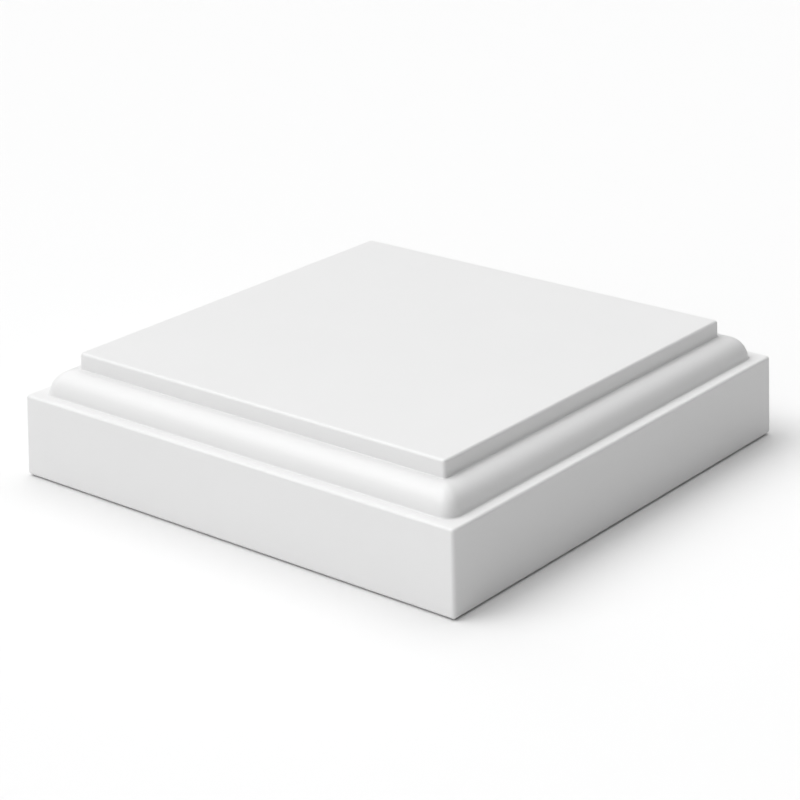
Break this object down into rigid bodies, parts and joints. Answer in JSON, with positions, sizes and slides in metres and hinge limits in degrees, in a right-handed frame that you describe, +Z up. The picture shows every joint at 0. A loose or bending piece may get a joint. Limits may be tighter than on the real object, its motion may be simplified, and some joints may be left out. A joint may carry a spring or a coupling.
{
  "type": "newel post cap",
  "caption": "Square, flat-topped cap for a stair newel post: a plain band, a narrow ledge, a quarter-round moulding and a raised flat plate, moulded as one solid piece.",
  "frame": {"origin": "centre of the underside, on the plane that beds on the post", "axes": "+Z up, out of the flat top; X and Y square to the band's sides"},
  "size_m": [0.2222, 0.2222, 0.0521],
  "materials": {
    "primed_urethane": "smooth moulded urethane skin under a satin white factory primer"
  },
  "bodies": {
    "root": {"newel_post_cap": "primed_urethane"}
  },
  "joints": []
}
